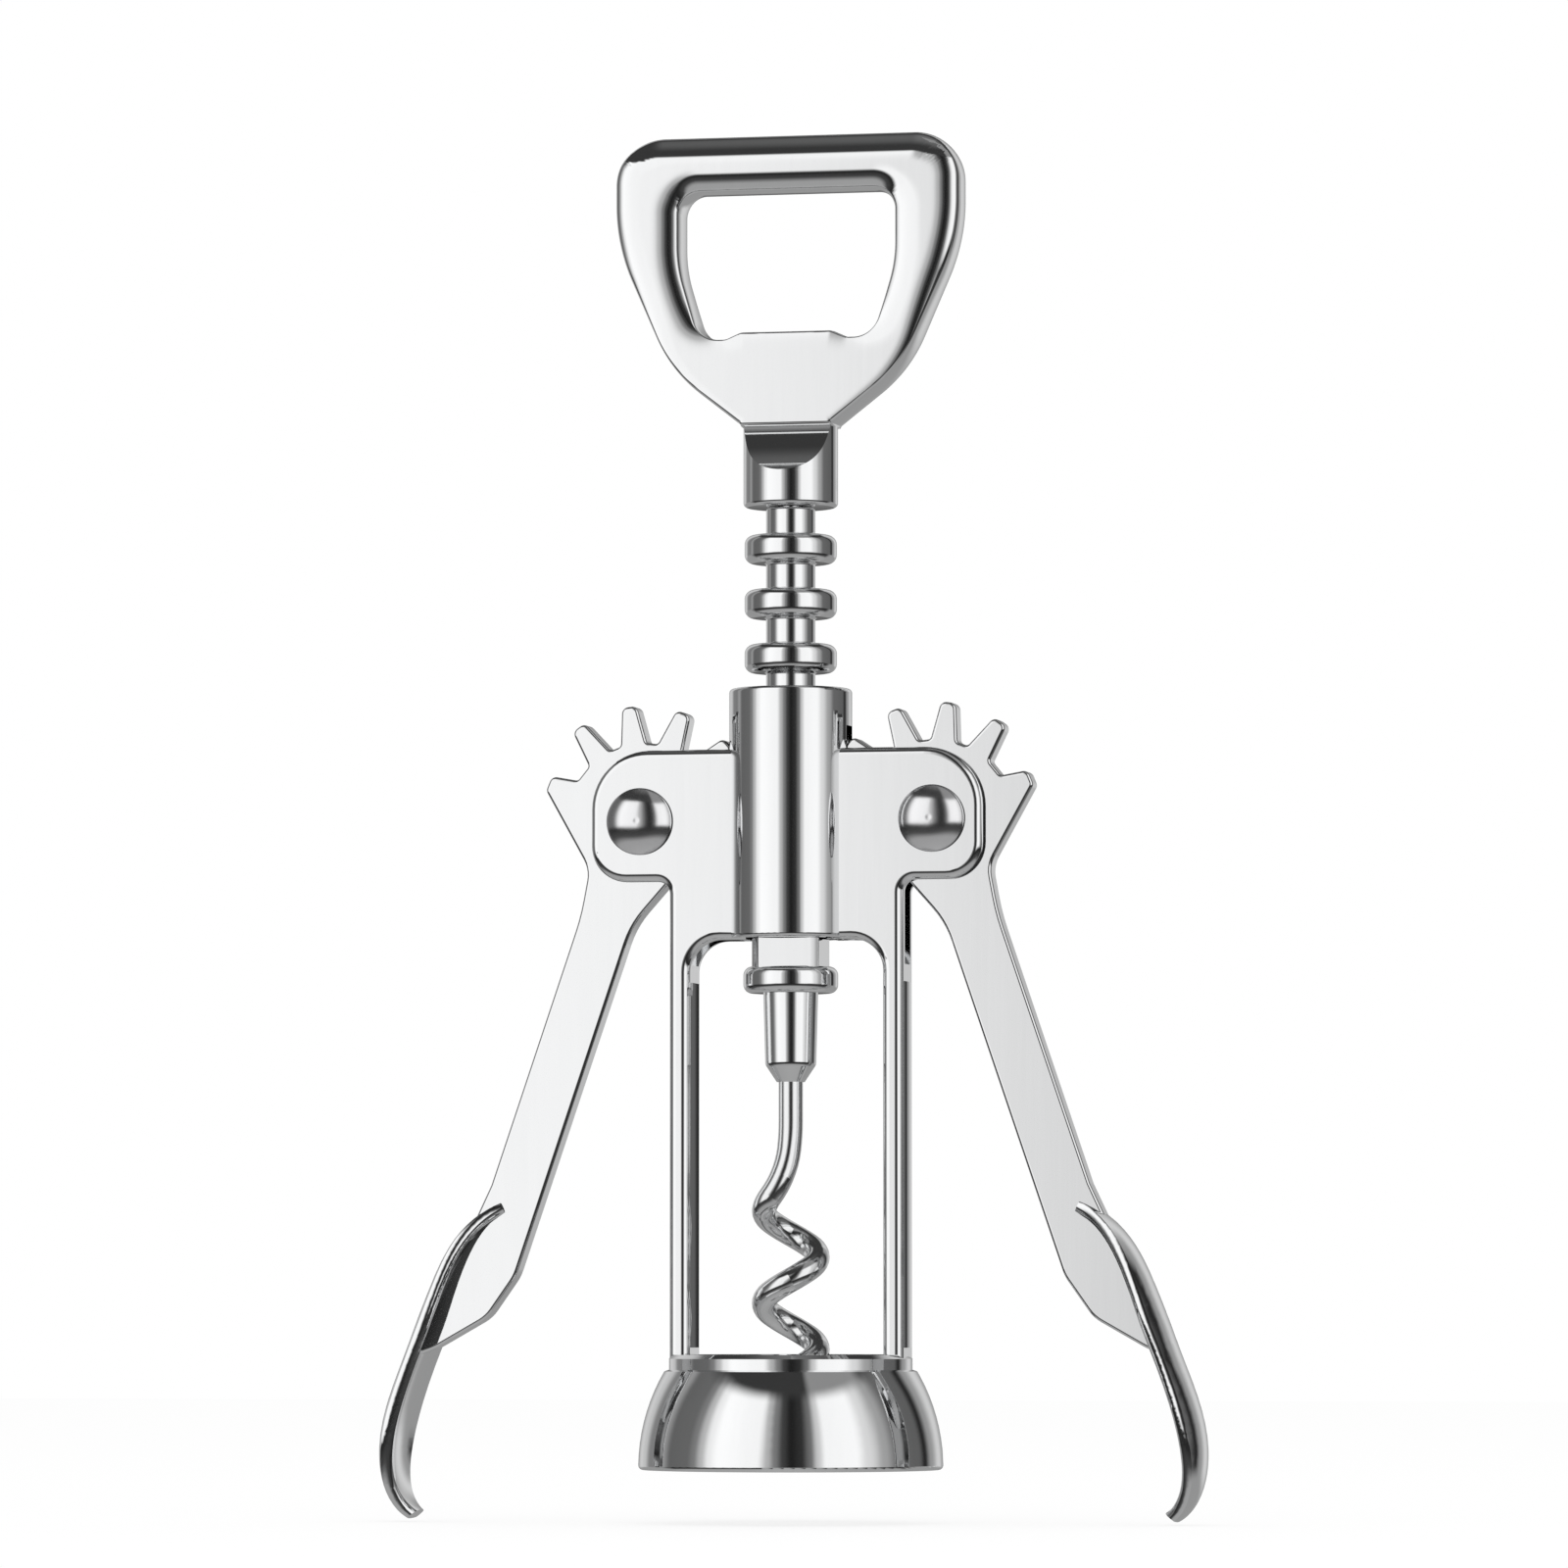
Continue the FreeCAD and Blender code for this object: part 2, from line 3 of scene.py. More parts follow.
import bmesh
import bpy
import numpy as np
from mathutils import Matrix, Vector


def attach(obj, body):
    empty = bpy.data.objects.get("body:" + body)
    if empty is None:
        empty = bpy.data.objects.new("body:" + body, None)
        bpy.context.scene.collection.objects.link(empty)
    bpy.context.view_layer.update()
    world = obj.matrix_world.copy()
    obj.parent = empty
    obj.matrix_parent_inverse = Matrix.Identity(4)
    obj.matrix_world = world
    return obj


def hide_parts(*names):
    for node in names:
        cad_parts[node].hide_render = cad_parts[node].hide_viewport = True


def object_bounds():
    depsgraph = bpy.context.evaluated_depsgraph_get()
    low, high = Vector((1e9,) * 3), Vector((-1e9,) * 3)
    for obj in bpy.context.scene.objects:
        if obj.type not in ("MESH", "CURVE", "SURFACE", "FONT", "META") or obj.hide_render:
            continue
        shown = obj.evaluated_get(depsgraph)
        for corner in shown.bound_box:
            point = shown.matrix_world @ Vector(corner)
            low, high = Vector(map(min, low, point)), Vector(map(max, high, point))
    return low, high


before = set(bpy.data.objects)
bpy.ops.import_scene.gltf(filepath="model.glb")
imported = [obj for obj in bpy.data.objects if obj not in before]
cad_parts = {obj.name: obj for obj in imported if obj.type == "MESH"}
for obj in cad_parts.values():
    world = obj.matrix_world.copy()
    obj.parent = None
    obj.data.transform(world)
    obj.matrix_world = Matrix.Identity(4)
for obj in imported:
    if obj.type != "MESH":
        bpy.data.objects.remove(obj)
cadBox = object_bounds()
scene = bpy.context.scene
print("frame loaded:", len(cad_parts), "nodes")

mm = 0.001  # every size below is in metres, written as a number of these


# Camera: a little to the right of the front, low, and tipped up a little
cameraPlan = {
    "azimuth": 12.0,  # degrees to the right of the front
    "height": 20.0 * mm,
    "distance": 1100.0 * mm,
    "tiltUp": 3.505,  # degrees
    "panLeft": 0.045,  # degrees
    "focalPixels": 8800.0,  # focal length, in pixels of a picture as wide as the next number
    "picturePixels": 1600.0,
    "sensorWidth": 36.0,
    "near": 0.01,
    "far": 20.0,
}


def makeCamera():
    plan = cameraPlan
    turn = math.radians(plan["azimuth"])
    data = bpy.data.cameras.new("camera")
    data.sensor_width = plan["sensorWidth"]
    data.lens = plan["focalPixels"] * plan["sensorWidth"] / plan["picturePixels"]
    data.clip_start = plan["near"]
    data.clip_end = plan["far"]
    camera = bpy.data.objects.new("camera", data)
    away = plan["distance"]
    camera.location = (away * math.sin(turn), -away * math.cos(turn), plan["height"])
    pitch = math.radians(90 + plan["tiltUp"])
    camera.rotation_euler = (pitch, 0, turn + math.radians(plan["panLeft"]))
    scene.collection.objects.link(camera)
    scene.camera = camera


makeCamera()
print("camera set")


# Small helpers for node trees
def addNode(tree, kind, **values):
    node = tree.nodes.new(kind)
    for key, value in values.items():
        setattr(node, key, value)
    return node


def mathNode(tree, operation, first, second=None, third=None, clamp=False):
    node = addNode(tree, "ShaderNodeMath", operation=operation, use_clamp=clamp)
    for slot, value in enumerate((first, second, third)):
        if value is None:
            continue
        if isinstance(value, (int, float)):
            node.inputs[slot].default_value = value
        else:
            tree.links.new(value, node.inputs[slot])
    return node.outputs[0]


def makeRamp(tree, value, stops):
    # A smooth curve of grey through the stops, each a place from 0 to 1 and its grey
    node = addNode(tree, "ShaderNodeValToRGB")
    ramp = node.color_ramp
    ramp.interpolation = "EASE"
    while len(ramp.elements) < len(stops):
        ramp.elements.new(0.5)
    for element, (place, grey) in zip(ramp.elements, stops):
        element.position = place
        element.color = (grey, grey, grey, 1)
    tree.links.new(value, node.inputs[0])
    return node.outputs[0]


# Studio: what the chrome mirrors, by direction, measured from the camera's own bearing
studioPlan = {
    "plain": 0.92,  # light on anything that isn't a mirror
    # degrees above the horizon, share of the walls that shows there, and the grey in their stead
    "rises": [
        (-90, 0.0, 0.42), (-42, 0.0, 0.36), (-24, 0.0, 0.05), (-12, 0.0, 0.02), (-4, 1.0, 0.02),
        (39, 1.0, 0.04), (48, 0.0, 0.04), (62, 0.0, 0.04), (90, 0.0, 0.16),
    ],
    # bearing in degrees, and how grey the canopy over the walls is there
    "canopy": [(-180, 0.03), (12, 0.02), (22, 0.28), (70, 0.28), (85, 0.03), (180, 0.03)],
    "canopyFrom": 0.3,  # sine of the angle above the horizon where the canopy starts
    # bearing in degrees, and how grey the floor is there
    "skirt": [(-180, 0.32), (-125, 0.32), (-100, 0.0), (100, 0.0), (125, 0.32), (180, 0.32)],
    # bearing in degrees, and the walls' brightness there
    "walls": [
        (-180, 0.12), (-172, 0.34), (-155, 0.64), (-146, 0.57), (-134, 0.23), (-122, 0.21),
        (-114, 0.32), (-104, 0.13), (-86, 0.14), (-79, 0.21), (-72, 0.51), (-65, 0.92),
        (-57, 1.10), (-26, 1.02), (-18, 0.48), (-12, 0.20), (-6, 0.05), (0, 0.015),
        (8, 0.03), (15, 0.16), (21, 0.64), (27, 1.02), (50, 1.06), (62, 0.75), (76, 0.38),
        (90, 0.14), (114, 0.12), (123, 0.02), (134, 0.32), (150, 0.66), (172, 0.34), (180, 0.12),
    ],
}


def bearingStops(stops):
    # A full turn is one length of the ramp, with the camera's bearing in its middle
    return [(degrees / 360 + 0.5, grey) for degrees, grey in stops]


def makeStudio():
    plan = studioPlan
    world = bpy.data.worlds.new("studio")
    scene.world = world
    world.use_nodes = True
    tree = world.node_tree
    tree.nodes.clear()
    place = addNode(tree, "ShaderNodeTexCoord")
    split = addNode(tree, "ShaderNodeSeparateXYZ")
    tree.links.new(place.outputs["Generated"], split.inputs[0])
    # Bearing of a direction from the camera's bearing, as a share of a full turn from -0.5 to 0.5
    turn = math.radians(cameraPlan["azimuth"])
    x, y, z = split.outputs
    right = mathNode(tree, "ADD", mathNode(tree, "MULTIPLY", x, math.cos(turn)),
                     mathNode(tree, "MULTIPLY", y, math.sin(turn)))
    toward = mathNode(tree, "SUBTRACT", mathNode(tree, "MULTIPLY", x, math.sin(turn)),
                      mathNode(tree, "MULTIPLY", y, math.cos(turn)))
    bearing = mathNode(tree, "ARCTAN2", right, toward)
    share = mathNode(tree, "MULTIPLY_ADD", bearing, 1 / (2 * math.pi), 0.5)
    walls = makeRamp(tree, share, bearingStops(plan["walls"]))
    # Height above the horizon, as a share of a half turn from the floor's middle to the ceiling's
    height = mathNode(tree, "MULTIPLY_ADD", mathNode(tree, "ARCSINE", z), 1 / math.pi, 0.5)
    rises = plan["rises"]
    showing = makeRamp(tree, height, [(degrees / 180 + 0.5, shown) for degrees, shown, grey in rises])
    filling = makeRamp(tree, height, [(degrees / 180 + 0.5, grey) for degrees, shown, grey in rises])
    canopy = makeRamp(tree, share, bearingStops(plan["canopy"]))
    above = mathNode(tree, "GREATER_THAN", z, plan["canopyFrom"])
    skirt = makeRamp(tree, share, bearingStops(plan["skirt"]))
    below = mathNode(tree, "LESS_THAN", z, 0)
    for fill, side in ((canopy, above), (skirt, below)):
        filling = mathNode(tree, "MAXIMUM", filling, mathNode(tree, "MULTIPLY", fill, side))
    room = addNode(tree, "ShaderNodeMix", data_type="RGBA")
    tree.links.new(showing, room.inputs["Factor"])
    tree.links.new(filling, room.inputs["A"])
    tree.links.new(walls, room.inputs["B"])
    path = addNode(tree, "ShaderNodeLightPath")
    mirrored = addNode(tree, "ShaderNodeBackground")
    tree.links.new(room.outputs["Result"], mirrored.inputs["Color"])
    plain = addNode(tree, "ShaderNodeBackground")
    plain.inputs["Color"].default_value = (1, 1, 1, 1)
    plain.inputs["Strength"].default_value = plan["plain"]
    white = addNode(tree, "ShaderNodeBackground")
    white.inputs["Color"].default_value = (1, 1, 1, 1)
    soft = addNode(tree, "ShaderNodeMixShader")
    tree.links.new(path.outputs["Is Glossy Ray"], soft.inputs[0])
    tree.links.new(plain.outputs[0], soft.inputs[1])
    tree.links.new(mirrored.outputs[0], soft.inputs[2])
    seen = addNode(tree, "ShaderNodeMixShader")
    tree.links.new(path.outputs["Is Camera Ray"], seen.inputs[0])
    tree.links.new(soft.outputs[0], seen.inputs[1])
    tree.links.new(white.outputs[0], seen.inputs[2])
    out = addNode(tree, "ShaderNodeOutputWorld")
    tree.links.new(seen.outputs[0], out.inputs[0])


makeStudio()


# Floor: a pale sheet under the lever tips that keeps a faint shadow
floorPlan = {
    "drop": 0.4 * mm,  # below the lowest lever tip
    "size": 3.0,
    "glow": 0.8,  # share of the white that doesn't take the shadow
}


def makeFloor():
    half = floorPlan["size"] / 2
    z = cadBox[0][2] - floorPlan["drop"]
    mesh = bpy.data.meshes.new("floor")
    corners = [(-half, -half, z), (half, -half, z), (half, half, z), (-half, half, z)]
    mesh.from_pydata(corners, [], [(0, 1, 2, 3)])
    floor = bpy.data.objects.new("floor", mesh)
    scene.collection.objects.link(floor)
    material = bpy.data.materials.new("paleFloor")
    material.use_nodes = True
    tree = material.node_tree
    tree.nodes.clear()
    matt = addNode(tree, "ShaderNodeBsdfDiffuse")
    keep = 1 - floorPlan["glow"]
    matt.inputs["Color"].default_value = (keep, keep, keep, 1)
    glow = addNode(tree, "ShaderNodeEmission")
    glow.inputs["Strength"].default_value = floorPlan["glow"]
    both = addNode(tree, "ShaderNodeAddShader")
    tree.links.new(matt.outputs[0], both.inputs[0])
    tree.links.new(glow.outputs[0], both.inputs[1])
    # Mirrors look through the sheet to the studio's own floor
    path = addNode(tree, "ShaderNodeLightPath")
    through = addNode(tree, "ShaderNodeBsdfTransparent")
    seen = addNode(tree, "ShaderNodeMixShader")
    tree.links.new(path.outputs["Is Glossy Ray"], seen.inputs[0])
    tree.links.new(both.outputs[0], seen.inputs[1])
    tree.links.new(through.outputs[0], seen.inputs[2])
    out = addNode(tree, "ShaderNodeOutputMaterial")
    tree.links.new(seen.outputs[0], out.inputs["Surface"])
    mesh.materials.append(material)


makeFloor()


# Lamp: a soft square over the front, which mirrors don't show
lampPlan = {
    "place": (0.1, -0.3, 0.9),
    "aim": (0, 0, 0.08),
    "size": 0.8,
    "power": 1.2,
}


def makeLamp():
    plan = lampPlan
    data = bpy.data.lights.new("topLight", "AREA")
    data.size = plan["size"]
    data.energy = plan["power"]
    lamp = bpy.data.objects.new("topLight", data)
    lamp.location = plan["place"]
    way = np.subtract(plan["aim"], plan["place"])
    way = way / np.linalg.norm(way)
    lamp.rotation_euler = (math.acos(-way[2]), 0, math.atan2(way[0], -way[1]) + math.pi)
    lamp.visible_glossy = False
    scene.collection.objects.link(lamp)


makeLamp()
print("studio, floor and lamp set")


# Finishes: fine polishing streaks along the height, and a cloudy change of gloss
chromePlan = {"colour": (0.90, 0.905, 0.91), "roughness": 0.045, "scratchScale": 900.0}
wirePlan = {"colour": (0.84, 0.845, 0.85), "roughness": 0.12, "scratchScale": 1500.0}
satinPlan = {"colour": (0.86, 0.86, 0.87), "roughness": 0.15, "scratchScale": 2500.0}
polishPlan = {
    "streakLength": 0.06,  # scale of the streaks along the height, beside 1 across it
    "streakDetail": 3.0,
    "cloudScale": 60.0,
    "cloudDetail": 2.0,
    "dull": 0.96,  # the colour between the streaks, as a share of the full one
    "roughLeast": 0.6,  # shares of the roughness
    "roughMore": 0.8,
    "bumpStrength": 0.05,
    "bumpDepth": 0.02 * mm,
}


def makeChrome(name, plan, streaks=1.0):
    polish = polishPlan
    material = bpy.data.materials.new(name)
    material.use_nodes = True
    tree = material.node_tree
    shader = tree.nodes["Principled BSDF"]
    shader.inputs["Metallic"].default_value = 1.0
    place = addNode(tree, "ShaderNodeTexCoord")
    fine = addNode(tree, "ShaderNodeMapping")
    fine.inputs["Scale"].default_value = (1.0, 1.0, polish["streakLength"])
    tree.links.new(place.outputs["Object"], fine.inputs["Vector"])
    streak = addNode(tree, "ShaderNodeTexNoise")
    streak.inputs["Scale"].default_value = plan["scratchScale"]
    streak.inputs["Detail"].default_value = polish["streakDetail"]
    tree.links.new(fine.outputs[0], streak.inputs["Vector"])
    cloud = addNode(tree, "ShaderNodeTexNoise")
    cloud.inputs["Scale"].default_value = polish["cloudScale"]
    cloud.inputs["Detail"].default_value = polish["cloudDetail"]
    tree.links.new(place.outputs["Object"], cloud.inputs["Vector"])
    colour = addNode(tree, "ShaderNodeMix", data_type="RGBA")
    colour.inputs["A"].default_value = tuple(part * polish["dull"] for part in plan["colour"]) + (1,)
    colour.inputs["B"].default_value = plan["colour"] + (1,)
    tree.links.new(streak.outputs["Fac"], colour.inputs["Factor"])
    tree.links.new(colour.outputs["Result"], shader.inputs["Base Color"])
    least = plan["roughness"] * polish["roughLeast"]
    more = plan["roughness"] * polish["roughMore"]
    rough = mathNode(tree, "MULTIPLY_ADD", cloud.outputs["Fac"], more, least)
    tree.links.new(rough, shader.inputs["Roughness"])
    bump = addNode(tree, "ShaderNodeBump")
    bump.inputs["Strength"].default_value = polish["bumpStrength"] * streaks
    bump.inputs["Distance"].default_value = polish["bumpDepth"]
    tree.links.new(streak.outputs["Fac"], bump.inputs["Height"])
    tree.links.new(bump.outputs[0], shader.inputs["Normal"])
    return material


chrome = makeChrome("brightChrome", chromePlan)
wireChrome = makeChrome("wireChrome", wirePlan, 3.0)
satin = makeChrome("satinRivet", satinPlan, 2.0)


# The posts' sides are shaded as if they leaned forward a little, as a casting's do
draftPlan = {
    "top": 62.0 * mm,
    "bottom": 15.5 * mm,
    "left": (0.36, -40.0),  # lean as a slope at mid depth, and its change per metre of depth
    "right": (0.22, -85.0),
    "sideways": 0.9,  # a face counts as a side where the square of its sideways part is over this
}


def addDraft(material):
    tree = material.node_tree
    shader = tree.nodes["Principled BSDF"]
    place = addNode(tree, "ShaderNodeSeparateXYZ")
    tree.links.new(addNode(tree, "ShaderNodeTexCoord").outputs["Object"], place.inputs[0])
    x, y, z = place.outputs
    facing = addNode(tree, "ShaderNodeSeparateXYZ")
    tree.links.new(addNode(tree, "ShaderNodeNewGeometry").outputs["Normal"], facing.inputs[0])
    square = mathNode(tree, "MULTIPLY", facing.outputs[0], facing.outputs[0])
    onPost = mathNode(tree, "GREATER_THAN", square, draftPlan["sideways"])
    for operation, edge in (("LESS_THAN", "top"), ("GREATER_THAN", "bottom")):
        onPost = mathNode(tree, "MULTIPLY", onPost, mathNode(tree, operation, z, draftPlan[edge]))
    leans = []
    for side in ("left", "right"):
        middle, change = draftPlan[side]
        leans.append(mathNode(tree, "MULTIPLY_ADD", y, change, middle))
    onRight = mathNode(tree, "GREATER_THAN", x, 0)
    gap = mathNode(tree, "SUBTRACT", leans[1], leans[0])
    lean = mathNode(tree, "MAXIMUM", mathNode(tree, "MULTIPLY_ADD", onRight, gap, leans[0]), 0)
    forward = addNode(tree, "ShaderNodeCombineXYZ")
    lean = mathNode(tree, "MULTIPLY", mathNode(tree, "MULTIPLY", lean, onPost), -1)
    tree.links.new(lean, forward.inputs[1])
    total = addNode(tree, "ShaderNodeVectorMath", operation="ADD")
    tree.links.new(shader.inputs["Normal"].links[0].from_socket, total.inputs[0])
    tree.links.new(forward.outputs[0], total.inputs[1])
    even = addNode(tree, "ShaderNodeVectorMath", operation="NORMALIZE")
    tree.links.new(total.outputs[0], even.inputs[0])
    tree.links.new(even.outputs[0], shader.inputs["Normal"])


frameChrome = makeChrome("frameChrome", chromePlan)
addDraft(frameChrome)


def finishNode(node, material):
    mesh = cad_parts[node].data
    mesh.materials.clear()
    mesh.materials.append(material)


finishNode("frame_casting", frameChrome)
for node in ("left_lever", "right_lever", "rack_sleeve", "worm_ferrule", "opener_handle"):
    finishNode(node, chrome)
finishNode("worm", wireChrome)
finishNode("handle_pin", wireChrome)
for node in ("left_rivet", "right_rivet"):
    finishNode(node, satin)
print("finishes set")


# Surfaces: grids of points worked out by numpy, closed on themselves
def surfaceMesh(name, grid, wrapRows=True, wrapColumns=True):
    # Quads between neighbours in the grid, turned outward by the sign of the enclosed volume
    rows, columns = grid.shape[:2]
    index = np.arange(rows * columns).reshape(rows, columns)
    if wrapRows:
        index = np.vstack([index, index[:1]])
    if wrapColumns:
        index = np.hstack([index, index[:, :1]])
    corners = (index[:-1, :-1], index[1:, :-1], index[1:, 1:], index[:-1, 1:])
    quads = np.stack(corners, axis=-1).reshape(-1, 4)
    points = grid.reshape(-1, 3)
    a, b, c, d = (points[quads[:, i]] for i in range(4))
    volume = np.sum(a * np.cross(b, c)) + np.sum(a * np.cross(c, d))
    if volume < 0:
        quads = quads[:, ::-1]
    mesh = bpy.data.meshes.new(name)
    mesh.vertices.add(len(points))
    mesh.vertices.foreach_set("co", points.ravel())
    mesh.loops.add(quads.size)
    mesh.loops.foreach_set("vertex_index", quads.ravel())
    mesh.polygons.add(len(quads))
    mesh.polygons.foreach_set("loop_start", np.arange(0, quads.size, 4))
    mesh.polygons.foreach_set("use_smooth", np.ones(len(quads), bool))
    mesh.update(calc_edges=True)
    mesh.validate()
    return mesh


def closePoles(mesh, sharpDegrees):
    # Points that lie together on an axis become one, and the steeper edges are kept crisp
    together = 0.001 * mm
    shell = bmesh.new()
    shell.from_mesh(mesh)
    bmesh.ops.remove_doubles(shell, verts=shell.verts, dist=together)
    shell.to_mesh(mesh)
    shell.free()
    mesh.set_sharp_from_angle(angle=math.radians(sharpDegrees))
    return mesh


def addPiece(name, mesh, body, material):
    piece = bpy.data.objects.new(name, mesh)
    scene.collection.objects.link(piece)
    mesh.materials.clear()
    mesh.materials.append(material)
    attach(piece, body)
    return piece


def unit(vectors):
    return vectors / np.linalg.norm(vectors, axis=-1, keepdims=True)


def outlinePoints(corners, count):
    # A closed outline through corners (x, z, rounding), at even steps along its length. Each corner
    # is an arc that touches both of its sides
    arcPoints = 33
    places = np.array([corner[:2] for corner in corners])
    share = np.linspace(0, 1, arcPoints)[:, None]
    runs = []
    for i, (x, z, rounding) in enumerate(corners):
        back = unit(places[i - 1] - places[i])
        ahead = unit(places[(i + 1) % len(places)] - places[i])
        half = math.acos(np.clip(back @ ahead, -1, 1)) / 2
        centre = places[i] + unit(back + ahead) * (rounding / math.sin(half))
        start = places[i] + back * (rounding / math.tan(half)) - centre
        end = places[i] + ahead * (rounding / math.tan(half)) - centre
        runs.append(centre + unit(start * (1 - share) + end * share) * rounding)
    loop = np.vstack(runs + [runs[0][:1]])
    walked = np.concatenate([[0], np.cumsum(np.linalg.norm(np.diff(loop, axis=0), axis=1))])
    steps = np.linspace(0, walked[-1], count, endpoint=False)
    return np.stack([np.interp(steps, walked, loop[:, i]) for i in range(2)], axis=1)


def depthInside(points, loop):
    # Distance from each point to a closed outline, square to it at the nearest of its places, and
    # how upright that direction is
    along = unit(np.roll(loop, -1, axis=0) - np.roll(loop, 1, axis=0))
    square = np.stack([along[:, 1], -along[:, 0]], axis=1)
    depths, upright = [], []
    for row in points:
        gaps = (row[:, None, 0] - loop[None, :, 0]) ** 2 + (row[:, None, 1] - loop[None, :, 1]) ** 2
        nearest = np.argmin(gaps, axis=1)
        depths.append(np.abs(np.sum((row - loop[nearest]) * square[nearest], axis=1)))
        upright.append(np.abs(square[nearest, 1]))
    return np.stack(depths), np.stack(upright)


def mirroredCorners(rightHalf):
    return rightHalf + [(-x, z, rounding) for x, z, rounding in reversed(rightHalf)]


def smoothShare(value, low, high):
    # 0 up to low and 1 from high on, by 3 s squared less 2 s cubed between them
    share = np.clip((value - low) / (high - low), 0, 1)
    return share * share * (3 - 2 * share)


# Handle: one ring round the hole, crowned on the front and the back, with a flat web under it
handlePlan = {
    "halfWidth": 22.6 * mm,
    "top": 170.7 * mm,
    "topRound": 6.2 * mm,
    "side": 156.8 * mm,
    "sideRound": 24.0 * mm,
    "hip": (15.2 * mm, 140.4 * mm),
    "hipRound": 19.0 * mm,
    "neck": 6.05 * mm,
    "neckTop": 133.3 * mm,
    "neckFoot": 133.0 * mm,
    "neckRounds": (0.3 * mm, 0.1 * mm),
    "halfThickness": 3.6 * mm,
    "rimWidth": 8.6 * mm,
    "topWidth": 7.4 * mm,
    "holeRound": 2.7 * mm,
    "holeSide": 154.0 * mm,
    "holeSideRound": 18.0 * mm,
    "floor": (11.2 * mm, 144.4 * mm),
    "floorRound": 3.2 * mm,
    "lip": (5.9 * mm, 7.9 * mm, 0.9 * mm),  # half its top, half its foot, height
    "lipRound": 1.5 * mm,
    # Crown inward from the outside and from the hole: how far it runs, its slope at the edge, its power
    "sideCrowns": ((3.6 * mm, 0.84, 3.2), (4.1 * mm, 0.62, 3.5)),
    "barCrowns": ((3.9 * mm, 1.15, 2.0), (3.2 * mm, 0.76, 2.3)),
    "edges": (0.5 * mm, 0.4 * mm),
    "edgePower": 2.2,
    "crownAtNeck": 0.3,  # share of the crown that is left there
    "fullCrown": 158.0 * mm,  # height from which the outside has all of it
    "holeCrown": (-3.0 * mm, 6.0 * mm),  # from the hole's floor, where its crown starts and is full
    "barFrom": (152.0 * mm, 160.0 * mm),  # where the sides' crowns turn into the bar's
    "barUpright": (0.35, 0.98),
    "columns": 900,
    "rows": 44,
}


def makeHandleRing():
    # The front is half the thickness less a crown from the outside and one from the hole. A crown
    # takes slope / power * reach * (1 - depth / reach) to that power, with depth from the edge
    plan = handlePlan
    neckRound, footRound = plan["neckRounds"]
    outerCorners = mirroredCorners([
        (plan["halfWidth"], plan["top"], plan["topRound"]),
        (plan["halfWidth"], plan["side"], plan["sideRound"]),
        plan["hip"] + (plan["hipRound"],),
        (plan["neck"], plan["neckTop"], neckRound),
        (plan["neck"], plan["neckFoot"], footRound),
    ])
    outer = outlinePoints(outerCorners, plan["columns"])
    holeHalf = plan["halfWidth"] - plan["rimWidth"]
    floorX, floorZ = plan["floor"]
    lipTop, lipFoot, lipHeight = plan["lip"]
    holeTop = plan["top"] - plan["topWidth"]
    hole = outlinePoints(mirroredCorners([
        (holeHalf, holeTop, plan["holeRound"]),
        (holeHalf, plan["holeSide"], plan["holeSideRound"]),
        (floorX, floorZ, plan["floorRound"]),
        (lipFoot, floorZ, plan["lipRound"]),
        (lipTop, floorZ + lipHeight, plan["lipRound"]),
    ]), 4 * plan["columns"])
    # Each place on the outside is paired with the place on the hole that lies on the same ray
    centre = np.array([0, 0.5 * (floorZ + holeTop)])
    rays = unit(outer - centre)
    turns = np.arctan2(rays[:, 0], rays[:, 1])
    holeOut = hole - centre
    holeTurns = np.arctan2(holeOut[:, 0], holeOut[:, 1])
    holeFar = np.linalg.norm(holeOut, axis=1)
    inner = centre + rays * np.interp(turns, holeTurns, holeFar, period=2 * math.pi)[:, None]
    share = (1 - np.cos(np.linspace(0, math.pi, plan["rows"]))) / 2
    share = share[:, None, None]
    flat = outer * (1 - share) + inner * share
    # The crown narrows to nothing at the neck and at the lip, and is steeper along the top
    z = flat[:, :, 1]
    least = plan["crownAtNeck"]
    starts, full = plan["holeCrown"]
    fades = (
        least + (1 - least) * smoothShare(z, plan["neckTop"], plan["fullCrown"]),
        smoothShare(z, floorZ + starts, floorZ + full),
    )
    upper = smoothShare(z, *plan["barFrom"])
    height = plan["halfThickness"] * np.ones(flat.shape[:2])
    rounding = 1.0
    for i, loop in enumerate((outlinePoints(outerCorners, 4 * plan["columns"]), hole)):
        depth, upright = depthInside(flat, loop)
        barShare = upper * smoothShare(upright, *plan["barUpright"])
        sideCrown, barCrown = plan["sideCrowns"][i], plan["barCrowns"][i]
        reach, slope, power = (a + (b - a) * barShare for a, b in zip(sideCrown, barCrown))
        if i == 0:
            reach = reach * fades[i]
        height -= fades[i] * slope * reach / power * (1 - np.minimum(depth / reach, 1)) ** power
        edge = plan["edges"][i] * (0.5 + 0.5 * fades[i])
        power = plan["edgePower"]
        rounding = rounding * (1 - (1 - np.minimum(depth / edge, 1)) ** power) ** (1 / power)
    height = height * rounding
    front = np.stack([flat[:, :, 0], -height, flat[:, :, 1]], axis=-1)
    behind = np.stack([flat[:, :, 0], height, flat[:, :, 1]], axis=-1)
    grid = np.concatenate([front, behind[-2:0:-1]])
    return surfaceMesh("handleRing", grid)


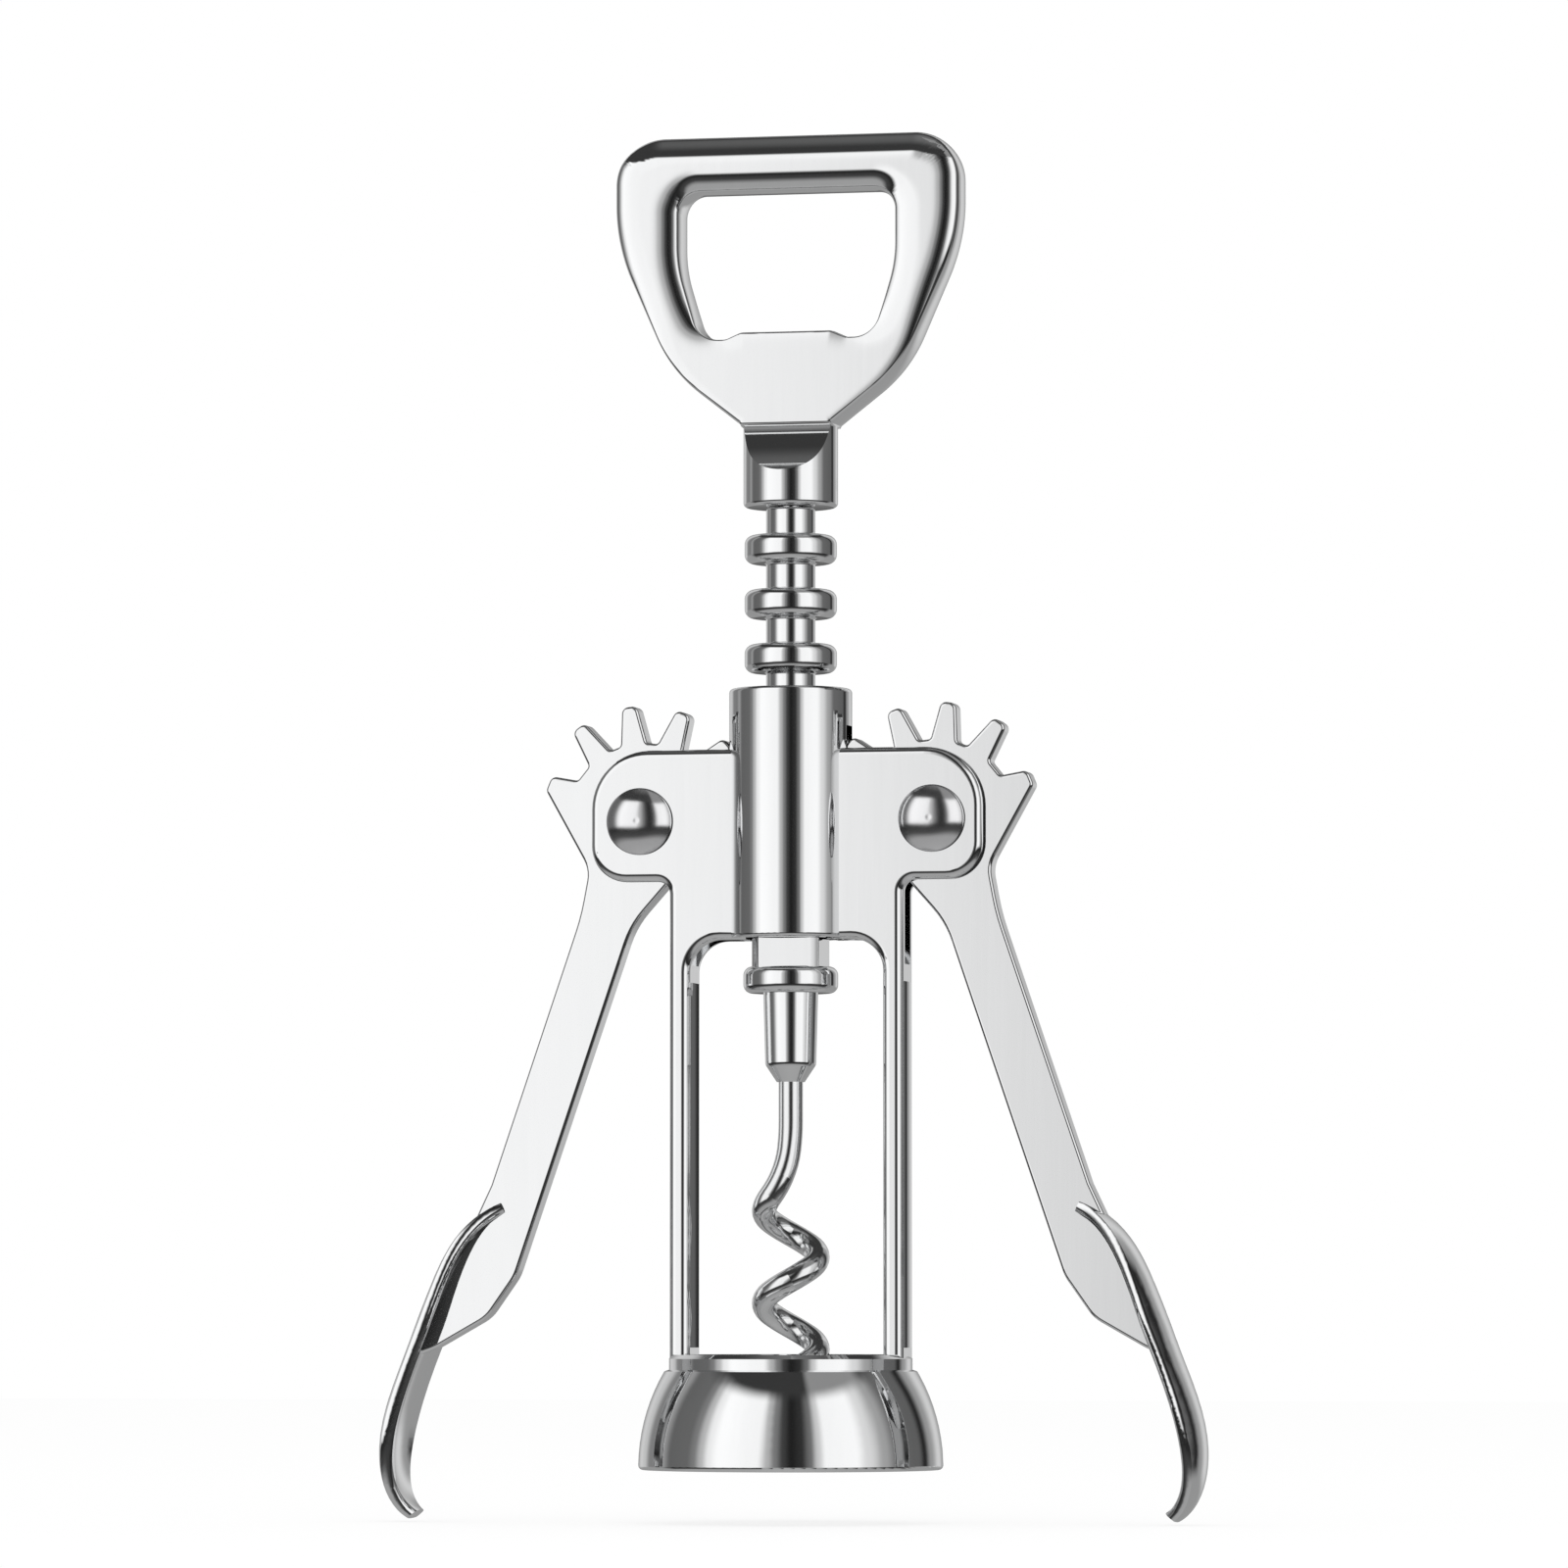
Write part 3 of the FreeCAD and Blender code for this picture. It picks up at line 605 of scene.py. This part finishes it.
# Collar: a round stem with a hollow cut in the front and the back, under the ring's web
collarPlan = {
    "radius": 6.05 * mm,
    "bottom": 122.8 * mm,
    "top": 133.6 * mm,
    "edge": 0.6 * mm,
    "cut": (127.2 * mm, 133.6 * mm),  # from the hollow's foot to its top
    "cutDepth": (2.0, 2.45, 1.6),  # half thickness left at its top in mm, and how that grows down
    "crisp": 12,  # degrees between faces, past which an edge is sharp
    "edgeRows": 16,
    "rows": 140,
    "arcColumns": 90,
    "faceColumns": 40,
}


def makeCollar():
    plan = collarPlan
    radius, bottom, top = plan["radius"], plan["bottom"], plan["top"]
    turn = np.linspace(0, math.pi / 2, plan["edgeRows"])
    sideZ = np.linspace(bottom + plan["edge"], top, plan["rows"])[1:]
    z = np.concatenate([bottom + plan["edge"] * (1 - np.cos(turn)), sideZ])
    out = np.concatenate([radius - plan["edge"] * (1 - np.sin(turn)), np.full(len(sideZ), radius)])
    # Half thickness at each height: a + b u + c u cubed, u from 0 at the hollow's top to 1 at its foot
    foot, high = plan["cut"]
    a, b, c = plan["cutDepth"]
    u = np.clip((high - z) / (high - foot), 0, 1)
    reach = np.where(u < 1, (a + b * u + c * u ** 3) * mm, radius)
    reach = np.minimum(reach, out)
    faceX = np.sqrt(out ** 2 - reach ** 2)
    start = np.arctan2(reach, faceX)
    angle = start[:, None] * np.linspace(-1, 1, plan["arcColumns"])
    arcX, arcY = out[:, None] * np.cos(angle), out[:, None] * np.sin(angle)
    flatX = faceX[:, None] * np.linspace(1, -1, plan["faceColumns"] + 2)[1:-1]
    flatY = np.repeat(reach[:, None], flatX.shape[1], axis=1)
    x = np.hstack([arcX, flatX, -arcX, -flatX])
    y = np.hstack([arcY, flatY, -arcY, -flatY])
    grid = np.stack([x, y, np.repeat(z[:, None], x.shape[1], axis=1)], axis=-1)
    # The ends close on the axis
    ends = [grid[:1] * [0, 0, 1], grid[-1:] * [0, 0, 1]]
    mesh = surfaceMesh("handleCollar", np.concatenate([ends[0], grid, ends[1]]), wrapRows=False)
    return closePoles(mesh, plan["crisp"])


ring = addPiece("handleRing", makeHandleRing(), "spindle", chrome)
collar = addPiece("handleCollar", makeCollar(), "spindle", chrome)
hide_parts("opener_handle")
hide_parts("opener_handle")
print("handle made")


# Rivets: a domed head in front, flatter in its middle, a shank through the ears and a smaller tail behind
rivetPlan = {
    "out": 19.0 * mm,
    "up": 82.6 * mm,
    "face": 3.55 * mm,  # the ears' faces, front and back
    "shank": 2.0 * mm,
    "head": (4.3 * mm, 2.25 * mm),  # radius and height
    "tail": (3.9 * mm, 1.65 * mm),
    # The dome's profile in mm, stretched to each of those two
    "dome": (4.3, 2.25),
    "fall": (0.055, 0.00175),  # shares of r squared and of r to the fourth
    "edge": (4.05, 0.755),  # where the crown ends, and the radius of the edge after it
    "edgeStart": 42,  # degrees by which the edge has already turned there
    "dimple": (0.03, 0.32),  # depth and width
    "crownRows": 60,
    "edgeRows": 14,
    "crisp": 50,
    "columns": 160,
}


def domeProfile(radius, height):
    # Radius and height above the ear, from the crown's middle down to the ear. The crown falls with
    # r squared and r to the fourth, less a bell-shaped dimple, and an arc turns it down to the ear
    plan = rivetPlan
    wide, tall = plan["dome"]
    crownEnd, bend = plan["edge"]
    first, second = plan["fall"]
    dimpleDepth, dimpleWidth = plan["dimple"]
    r = np.linspace(0, crownEnd, plan["crownRows"])
    rise = tall - first * r ** 2 - second * r ** 4 - dimpleDepth * np.exp(-(r / dimpleWidth) ** 2)
    turn = np.radians(np.linspace(plan["edgeStart"], 90, plan["edgeRows"]))[1:]
    drop = bend * (np.cos(turn) - math.cos(math.radians(plan["edgeStart"])))
    r = np.concatenate([r, wide - bend * (1 - np.sin(turn)), [wide]])
    rise = np.concatenate([rise, rise[-1] + drop, [0]])
    return r / wide * radius, rise / tall * height


def makeRivet(side):
    plan = rivetPlan
    headR, headRise = domeProfile(*plan["head"])
    tailR, tailRise = domeProfile(*plan["tail"])
    face = plan["face"]
    r = np.concatenate([headR, [plan["shank"]] * 2, tailR[::-1]])
    y = np.concatenate([-face - headRise, [-face, face], face + tailRise[::-1]])
    turn = np.linspace(0, 2 * math.pi, plan["columns"], endpoint=False)
    x = side * plan["out"] + r[:, None] * np.cos(turn)
    z = plan["up"] + r[:, None] * np.sin(turn)
    grid = np.stack([x, np.repeat(y[:, None], len(turn), axis=1), z], axis=-1)
    return closePoles(surfaceMesh("rivet", grid, wrapRows=False), plan["crisp"])


for node, side in (("left_rivet", -1), ("right_rivet", 1)):
    rivet = addPiece(node + "Dome", makeRivet(side), "frame", satin)
    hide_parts(node)
print("rivets made")


scene.view_settings.view_transform = "Standard"
